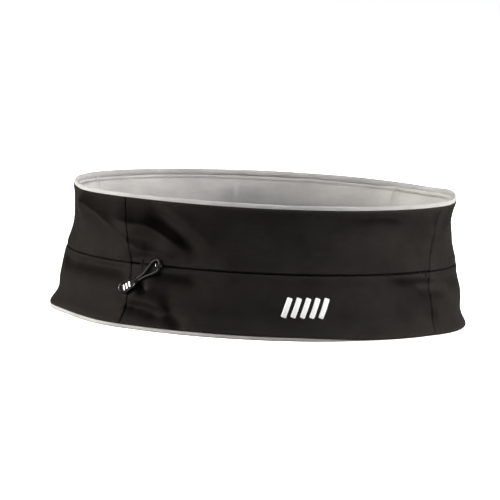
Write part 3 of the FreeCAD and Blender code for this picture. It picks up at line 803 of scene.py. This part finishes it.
def woven(name, dark, light, pitch, depth, roughness, sheen):
    """Twill: slanted ribs of thread with fine threads across them."""
    shader = Shader(name)
    uv, along, up = shader.cloth_place()
    slanted = shader.maths("ADD", along, shader.maths("PINGPONG", up, pitch * 3))
    rib = shader.wave(slanted, 2 * math.pi / pitch)
    fine = shader.wave(up, 4 * math.pi / pitch)
    height = shader.maths("MULTIPLY_ADD", fine, 0.25, shader.maths("MULTIPLY", rib, 0.5))
    shade = shader.clamp(shader.maths("MULTIPLY_ADD", rib, 0.25, shader.noise(uv, 0.4)))
    return shader.finish({
        "Base Color": shader.mixed(shade, dark, light),
        "Roughness": shader.between(shader.noise(uv, 1.3), roughness - 0.1, roughness + 0.1),
        "Normal": shader.bump(height, depth * MM, 0.8),
        "Sheen Weight": sheen,
    })


def thread(name, dark, light, twist, roughness, sheen, gloss=0.3):
    """Twisted yarn: slanted plies that run along the thread, with stray fibres."""
    shader = Shader(name)
    _, round_it, along = shader.cloth_place()
    slanted = shader.maths("MULTIPLY_ADD", round_it, twist, along)
    ply = shader.wave(slanted, 4 * math.pi / twist)
    fibre = shader.noise(shader.place(), 9000.0)
    shade = shader.clamp(shader.maths("MULTIPLY_ADD", ply, 0.3, fibre))
    return shader.finish({
        "Base Color": shader.mixed(shade, dark, light),
        "Roughness": shader.between(fibre, roughness - 0.1, roughness + 0.1),
        "Normal": shader.bump(ply, 0.00006, 0.7),
        "Sheen Weight": sheen,
        "Specular IOR Level": gloss,
    })


def moulded(name, dark, light, roughness, grain, gloss=0.35):
    """Moulded rubber or plastic: fine grain, faint flow marks and handling wear."""
    shader = Shader(name)
    place = shader.place()
    flow = shader.noise(place, 180.0, 4.0)
    pores = shader.noise(place, 2600.0, 2.0)
    smudge = shader.noise(place, 420.0, 3.0)
    return shader.finish({
        "Base Color": shader.mixed(flow, dark, light),
        "Roughness": shader.between(smudge, roughness - 0.12, roughness + 0.14),
        "Normal": shader.bump(pores, grain * MM, 0.5),
        "Specular IOR Level": gloss,
    })


def cast_metal(name, dark, light, roughness):
    """Plated die-cast metal: bright where rubbed, with fine scratches and a soft ripple."""
    shader = Shader(name)
    place = shader.place()
    patch = shader.noise(place, 650.0, 4.0)
    scratch = shader.noise(shader.scaled(place, (9000, 700, 1500)), 1.0, 2.0)
    ripple_normal = shader.bump(shader.noise(place, 900.0, 2.0), 0.00012, 0.4)
    return shader.finish({
        "Base Color": shader.mixed(patch, dark, light),
        "Metallic": 1.0,
        "Roughness": shader.between(scratch, roughness - 0.1, roughness + 0.16),
        "Normal": shader.bump(scratch, 0.00002, 0.35, ripple_normal),
    })


def reflective(name):
    """Silver film of tiny glass beads, with a fine crackle from stretching."""
    shader = Shader(name)
    place = shader.place()
    cells = shader.node("ShaderNodeTexVoronoi", {"Vector": place, "Scale": 5200.0})
    beads = cells.outputs["Distance"]
    crackle = shader.noise(place, 900.0, 5.0, 0.7)
    worn = shader.maths("GREATER_THAN", crackle, 0.72)
    colour = shader.mixed(beads, (0.80, 0.81, 0.82, 1), (0.62, 0.63, 0.65, 1))
    return shader.finish({
        "Base Color": shader.mixed(worn, colour, (0.30, 0.30, 0.31, 1)),
        "Metallic": 0.35,
        "Roughness": shader.between(beads, 0.3, 0.5),
        "Normal": shader.bump(beads, 0.00003, 0.5),
    })


FABRIC_BLACK = knit(
    "stretch_knit", grey(23, 0.08), grey(38, 0.06), wale=0.55, course=0.42, depth=0.10,
    roughness=0.55, sheen=0.004, worn=grey(54, 0.06), gloss=0.02,
)
LINING_GREY = knit(
    "lining_knit", grey(138), grey(178), wale=0.8, course=0.6, depth=0.12,
    roughness=0.75, sheen=0.15, worn=grey(186),
)
BAND_GREY = knit(
    "band_knit", grey(132, -0.02), grey(172, -0.01), wale=0.6, course=0.45, depth=0.12,
    roughness=0.7, sheen=0.15, worn=grey(182),
)
TAPE_BLACK = woven("tape_twill", grey(10), grey(26), 0.5, 0.08, 0.65, 0.03)
COIL_BLACK = moulded("coil_nylon", grey(8), grey(20), 0.4, 0.004, gloss=0.2)
STOP_BLACK = moulded("stop_lacquer", grey(4), grey(12), 0.6, 0.004, gloss=0.05)
THREAD_BLACK = thread("black_thread", grey(14), grey(32), 0.5, 0.6, 0.0, gloss=0.05)
THREAD_GREY = thread("grey_thread", grey(140), grey(185), 0.5, 0.5, 0.1)
METAL_BLACK = cast_metal("black_nickel", (0.02, 0.02, 0.021, 1), (0.16, 0.16, 0.165, 1), 0.2)
RUBBER_BLACK = moulded("grip_rubber", grey(5), grey(14), 0.24, 0.01)
CORD_BLACK = thread("cord_braid", grey(12), grey(32), 1.2, 0.45, 0.03)
FILM_SILVER = reflective("silver_film")
INK_WHITE = moulded("white_ink", grey(205), grey(238), 0.45, 0.006)


# -------------------- zip


def zip_frame(angle):
    """The zip's plane: x along it to the right, y up the slope, z out of the cloth."""
    turn = Matrix.Rotation(math.radians(angle), 4, "Z")
    lay = Matrix.Translation((0, -ZIP_RADIUS, ZIP_Z))
    tip = Matrix.Rotation(math.radians(90) - SLOPE, 4, "X")
    return Matrix.Translation((0, FRONT_CENTRE, 0)) @ turn @ lay @ tip


def pull_frame():
    """The pull's plane at rest: x away from the slider, y across, z out of the cloth."""
    lift = Matrix.Translation((0, 0, CORD_HEIGHT))
    tilt = Matrix.Rotation(math.radians(-PULL_TILT), 4, "Y")
    turn = Matrix.Rotation(math.radians(PULL_DIRECTION), 4, "Z")
    return zip_frame(SLIDER_ANGLE) @ lift @ tilt @ turn


def placed(matrix, points):
    """Points of a local frame, in the belt's frame."""
    m = np.array(matrix)
    return np.asarray(points) @ m[:3, :3].T + m[:3, 3]


def zip_tape(side, sign):
    """Woven tape behind one lip of the slit, its edge rolled in to carry the coil."""
    # rows of the tape: distance from the slit, and how far the rolled edge turns in
    reach = np.array([9.0, 7.6, 6.2, 4.8, 3.6, 2.6, 1.8, 1.25, 0.95, 0.78, 0.75, 0.75])
    drop = np.array([0, 0, 0, 0, 0, 0, 0, 0.02, 0.12, 0.34, 0.7, 1.1])
    thick = np.where(drop < 0.3, 0.42, 0.3)
    angle = np.linspace(-TAPE_END_ANGLE, TAPE_END_ANGLE, 260)
    z = (ZIP_Z + sign * reach * math.cos(SLOPE))[:, None]
    angles = np.broadcast_to(angle, (len(reach), len(angle)))
    heights = np.broadcast_to(z, angles.shape)
    # against the back of the cloth, which is FABRIC thick
    outer = np.minimum(-1.06, relief(angles, heights) - 1.02) - drop[:, None]
    inner = outer - thick[:, None]
    outer_points, inner_points = wall(angles, heights, outer), wall(angles, heights, inner)
    inner_points[..., 2] += np.where(drop > 0.3, sign * 0.3, 0)[:, None]
    uv = np.stack(np.broadcast_arrays(girth(angles), heights), axis=-1)
    if sign > 0:
        outer_points, inner_points, uv = outer_points[::-1], inner_points[::-1], uv[::-1]
    piece = add_piece(f"{side}_tape", TAPE_BLACK, *sheet(outer_points, inner_points, uv))
    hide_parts(f"zip_tape_{side}")
    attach(piece, "belt")


def zip_coil(side, sign):
    """Nylon coil sewn to one tape: joined with the other behind the slider, parted ahead of it."""
    low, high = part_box(f"zip_coil_{side}")
    start, finish = (
        math.degrees(math.asin(x / MM / (ZIP_RADIUS - COIL_DEPTH))) for x in (low.x, high.x)
    )
    length = math.radians(finish - start) * ZIP_RADIUS
    turns = int(length / COIL_PITCH)
    steps_per_turn = 12
    t = np.linspace(0, turns, turns * steps_per_turn + 1)
    angle = start + (t * COIL_PITCH + FILAMENT) / length * (finish - start)
    apart = 1.45 - 0.5 * smooth(SLIDER_ANGLE - 0.6, SLIDER_ANGLE + 1.2, angle)
    up = sign * (apart + COIL_WIDE * np.cos(2 * np.pi * t))
    out = COIL_TALL * np.sin(2 * np.pi * t + (0 if sign > 0 else np.pi)) - 2.95
    reach = ZIP_RADIUS + out * math.cos(SLOPE) - up * math.sin(SLOPE)
    path = np.stack([
        reach * np.sin(np.radians(angle)),
        FRONT_CENTRE - reach * np.cos(np.radians(angle)),
        ZIP_Z + out * math.sin(SLOPE) + up * math.cos(SLOPE),
    ], axis=-1)
    piece = add_piece(f"{side}_coil", COIL_BLACK, *tube_mesh(path, FILAMENT / 2, 6))
    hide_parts(f"zip_coil_{side}")
    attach(piece, "belt")


def bar_tacks():
    """Satin stitches across the slit at both ends of the zip."""
    pitch, radius = 0.36, 0.19
    along = np.linspace(-TACK_HALF_WIDTH, TACK_HALF_WIDTH, 7)
    arch = 0.05 + 0.28 * np.cos(along / TACK_HALF_WIDTH * np.pi / 2) ** 0.7
    tacks = Gathered()
    for angle in (-TACK_ANGLE, TACK_ANGLE):
        turn = zip_frame(angle)
        for row, up in enumerate(np.arange(-TACK_HALF_HEIGHT, TACK_HALF_HEIGHT + 0.05, pitch)):
            slant = 0.12 * (-1) ** row
            local = np.stack([along, up + slant * along, arch], axis=-1)
            tacks.add(*stitch(placed(turn, local), radius))
    piece = tacks.piece("tack_stitches", THREAD_BLACK)
    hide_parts("bar_tacks")
    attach(piece, "belt")


def stop_clips():
    """Pressed stops over the coils: a pair ahead of the slider and one bridge at the far end."""
    names = {"zip_top_stops": "top_stop_clips", "zip_bottom_stop": "bottom_stop_clip"}
    for node, name in names.items():
        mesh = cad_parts[node].data.copy()
        piece = bpy.data.objects.new(name, mesh)
        bpy.context.collection.objects.link(piece)
        bevel = piece.modifiers.new("soft_edges", "BEVEL")
        bevel.width = 0.22 * MM
        bevel.segments = 3
        bevel.harden_normals = True
        mesh.materials.clear()
        mesh.materials.append(STOP_BLACK)
        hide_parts(node)
        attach(piece, "belt")


# -------------------- slider, cord and grip


def cord_path():
    """Points along the middle of the pull cord, read from its NURBS route, in millimetres."""
    curve = bpy.data.curves.new("cord_route", "CURVE")
    curve.dimensions = "3D"
    curve.resolution_u = 24
    spline = curve.splines.new("NURBS")
    spline.points.add(len(CORD_ROUTE) - 1)
    to_belt = np.array(pull_frame())
    for point, (x, y) in zip(spline.points, CORD_ROUTE):
        spot = to_belt[:3, :3] @ (x, y, 0) + to_belt[:3, 3] * MM
        point.co = (*spot, 1)
    spline.order_u = 3
    spline.use_endpoint_u = True
    route = bpy.data.objects.new("cord_route", curve)
    mesh = bpy.data.meshes.new_from_object(route)
    line = np.array([v.co for v in mesh.vertices], float) / MM
    bpy.data.objects.remove(route)
    bpy.data.curves.remove(curve)
    bpy.data.meshes.remove(mesh)
    return line


def even_path(line, step):
    """The same line with points a step apart."""
    walked = walked_along(line)
    at = np.linspace(0, walked[-1], max(2, round(walked[-1] / step) + 1))
    return np.stack([np.interp(at, walked, line[:, k]) for k in range(3)], axis=-1), at


def pull_cord():
    """Braided cord: strands that cross over each other round a soft core."""
    sides, strands, step, lay = 24, 4, 0.12, 2.6
    line, walked = even_path(cord_path(), step)
    around = np.arange(sides) * 2 * np.pi / sides
    turn = 2 * np.pi * walked[:, None] / lay
    left = np.abs(np.sin((around * strands + turn * strands / 2) / 2))
    right = np.abs(np.sin((around * strands - turn * strands / 2) / 2))
    radius = CORD / 2 * (0.93 + 0.09 * np.maximum(left, right) ** 1.5)
    piece = add_piece("braided_cord", CORD_BLACK, *tube_mesh(line, radius, sides))
    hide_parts("pull_cord")
    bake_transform(piece)


GRIP_LENGTH = 16.6
GRIP_END_RADIUS = 4.6
GRIP_NECK = 2.4
GRIP_TOP = 2.0
GRIP_BOTTOM = -1.2
GRIP_EDGE = 0.9
GRIP_FACE = GRIP_TOP - 0.45
COLLAR_RADIUS = 1.02


def grip_outline():
    """Rounded drop seen from above, as points with their outward directions."""
    arc = np.radians(np.linspace(-82, 82, 41))
    end = GRIP_END_RADIUS * np.stack([np.cos(arc), np.sin(arc)], axis=-1)
    end[:, 0] += GRIP_LENGTH - GRIP_END_RADIUS
    t = np.linspace(0, 1, 19)[:-1]
    widening = 0.62 * smooth(0, 0.35, t) + 0.38 * t ** 0.9
    side = np.stack([end[-1, 0] * t, GRIP_NECK + (end[-1, 1] - GRIP_NECK) * widening], axis=-1)
    loop = np.vstack([side * (1, -1), end, side[::-1]])
    ahead = np.roll(loop, -1, axis=0) - np.roll(loop, 1, axis=0)
    ahead /= np.linalg.norm(ahead, axis=1, keepdims=True)
    return loop, np.stack([ahead[:, 1], -ahead[:, 0]], axis=-1)


def cord_grip():
    """Moulded grip: rounded edges, a raised rim round a sunk face, and cord collars."""
    loop, outward = grip_outline()
    # profile from the middle of the back, round the edge, to the middle of the face:
    # how far in from the outline, and how high
    turn = np.radians(np.arange(0, 91, 15))
    falling, rising = GRIP_EDGE * (1 - np.sin(turn)), GRIP_EDGE * (1 - np.cos(turn))
    profile = [
        (2.2, GRIP_BOTTOM), (1.5, GRIP_BOTTOM), *zip(falling, GRIP_BOTTOM + rising),
        (0.05, 0.1), (0.12, 0.45), (0.05, 0.8), *zip(rising, GRIP_TOP - falling),
        (1.05, GRIP_TOP - 0.03), (1.18, GRIP_TOP - 0.15), (1.25, GRIP_FACE + 0.12),
        (1.36, GRIP_FACE + 0.02), (1.6, GRIP_FACE), (2.2, GRIP_FACE),
    ]
    rows = []
    for inset, height in profile:
        x, y = (loop - outward * inset).T
        x = np.clip(x, 0.02 + inset * 0.55, None) + THROAT
        y = np.where(loop[:, 1] * y < 0, 0, y)
        rows.append(np.column_stack([x, y, np.full(len(loop), height)]))
    points = np.vstack(rows)
    shape = Gathered()
    shape.add(placed(pull_frame(), points), ring_faces(len(rows), len(loop)), points[:, :2])
    along = np.linspace(-0.7, 1.2, 9)
    radius = COLLAR_RADIUS + 0.12 * smooth(-0.7, 0.4, along)
    for y in (-0.85, 0.85):
        collar = np.column_stack([THROAT + along, np.full(len(along), y), np.zeros(len(along))])
        shape.add(*tube_mesh(placed(pull_frame(), collar), radius, 20))
    piece = shape.piece("moulded_grip", RUBBER_BLACK)
    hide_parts("cord_grip")
    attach(piece, "grip")


def bar_outline(length, width, slant, corner):
    """Slanted bar with rounded corners, as points round its outline."""
    points = []
    for turn, (sx, sy) in enumerate(((1, 1), (-1, 1), (-1, -1), (1, -1))):
        for angle in np.radians(90 * turn + np.linspace(0, 90, 6)):
            x = sx * (width / 2 - corner) + corner * math.cos(angle)
            y = sy * (length / 2 - corner) + corner * math.sin(angle)
            points.append((x, y))
    turn = math.radians(-slant)
    spin = np.array([[math.cos(turn), -math.sin(turn)], [math.sin(turn), math.cos(turn)]])
    return np.array(points) @ spin.T


def grip_bars():
    """Three plain bars printed on the grip's face."""
    middle_x, pitch, length, width, slant, corner = THROAT + 9.0, 2.6, 4.4, 1.2, 18.0, 0.3
    bars = Gathered()
    for index in (-1, 0, 1):
        loop = bar_outline(length, width, slant, corner) + (middle_x + index * pitch, 0)
        middle = loop.mean(axis=0)
        rows = []
        for inset, height in ((0, -0.02), (0, 0.08), (0.08, 0.12)):
            shrunk = middle + (loop - middle) * (1 - inset / 1.5)
            rows.append(np.column_stack([shrunk, np.full(len(loop), GRIP_FACE + height)]))
        points = np.vstack(rows)
        bars.add(placed(pull_frame(), points), ring_faces(len(rows), len(loop)), points[:, :2])
    piece = bars.piece("grip_bars", INK_WHITE)
    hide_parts("grip_mark")
    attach(piece, "grip")


# -------------------- print and seam stitches


def print_bars():
    """Five slanted bars of film, laid on the cloth's own surface."""
    middle_angle, middle_z = 2.3, 26.0
    pitch, length, width, corner, slant = 7.6, 16.5, 4.2, 0.8, math.radians(18.0)
    film, rows, columns = 0.14, 41, 13
    bars = Gathered()
    for index in (-2, -1, 0, 1, 2):
        v = np.linspace(-1, 1, rows)[:, None] * length / 2
        into_corner = np.clip(np.abs(v) - length / 2 + corner, 0, None)
        rounding = np.sqrt(np.clip(corner**2 - into_corner**2, 0, None))
        half = width / 2 - corner + rounding
        u = np.linspace(-1, 1, columns)[None, :] * half
        v = np.broadcast_to(v, u.shape)
        x = index * pitch + u * math.cos(slant) + v * math.sin(slant)
        up = v * math.cos(slant) - u * math.sin(slant)
        z = middle_z + up * math.cos(SLOPE)
        angle = middle_angle + np.degrees(x / (FRONT_RADIUS + lean(z)))
        shape = relief(angle, z)
        rim = np.minimum(half - np.abs(u), length / 2 - np.abs(v))
        top = shape + film * smooth(-0.05, 0.25, rim) + 0.02
        outer, inner = wall(angle, z, top), wall(angle, z, shape - 0.08)
        bars.add(*sheet(outer, inner, np.stack([u, v], axis=-1)))
    piece = bars.piece("film_bars", FILM_SILVER)
    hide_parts("reflective_print")
    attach(piece, "belt")


def seam_stitches():
    """Short threads that bridge the side seams and the seam round the middle."""
    half, radius, pitch = 0.75, 0.13, 2.6
    stitches = Gathered()
    steps = np.linspace(-half, half, 5)
    arch = 0.35 * np.cos(steps / half * np.pi / 2) - 0.75
    places = [
        (first(z) + np.degrees(steps / FRONT_RADIUS), z + 0.25 * steps)
        for first, _ in SIDES.values()
        for z in np.arange(HEM_Z + 4, TOP_Z - 3, pitch)
        if abs(z - ZIP_Z) >= 1.6
    ]
    # from one end of the zip round the back to the other
    places += [
        (direction + np.degrees(0.3 * steps / FRONT_RADIUS), ZIP_Z + steps)
        for direction in np.arange(42.5, 317.5, 1.05)
    ]
    for angle, z in places:
        stitches.add(*stitch(wall(angle, z, relief(angle, z) + arch), radius))
    piece = stitches.piece("seam_stitches", THREAD_BLACK)
    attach(piece, "belt")


def lining_stitches():
    """Zigzag stitch on the lining's inner face, near both edges."""
    inset, swing, radius = 4.2, 0.9, 0.17
    stitches = Gathered()
    for level in (HEM_Z + inset, TOP_Z - inset):
        angle = np.arange(0, 360, 0.5)
        zigzag = level + swing * (np.arange(len(angle)) % 2 * 2 - 1)
        angle, zigzag = np.append(angle, 360.0), np.append(zigzag, zigzag[0])
        corners = np.arange(len(angle))
        fine = np.arange(0, len(angle) - 1, 0.25)
        angle, z = np.interp(fine, corners, angle), np.interp(fine, corners, zigzag)
        stitches.add(*tube_mesh(wall(angle, z, lining_line(angle, z) - 1.12), radius, 6))
    piece = stitches.piece("edge_stitches", THREAD_GREY)
    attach(piece, "belt")


def dress_cad_nodes():
    """Materials of the CAD pieces that stay as they are."""
    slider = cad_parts["zip_slider"]
    slider.data.materials.clear()
    slider.data.materials.append(METAL_BLACK)


make_camera()
make_stage()
for panel_side in SIDES:
    for panel_half in ("lower", "upper"):
        outer_panel(panel_side, panel_half, FABRIC_BLACK)
    lining(panel_side, LINING_GREY, FABRIC_BLACK)
edge_band("lower_band", "bottom_piping", HEM_Z, -1, BAND_GREY)
edge_band("upper_band", "top_piping", TOP_Z, 1, BAND_GREY)
for zip_side, zip_sign in (("upper", 1), ("lower", -1)):
    zip_tape(zip_side, zip_sign)
    zip_coil(zip_side, zip_sign)
stop_clips()
bar_tacks()
pull_cord()
cord_grip()
grip_bars()
print_bars()
seam_stitches()
lining_stitches()
dress_cad_nodes()
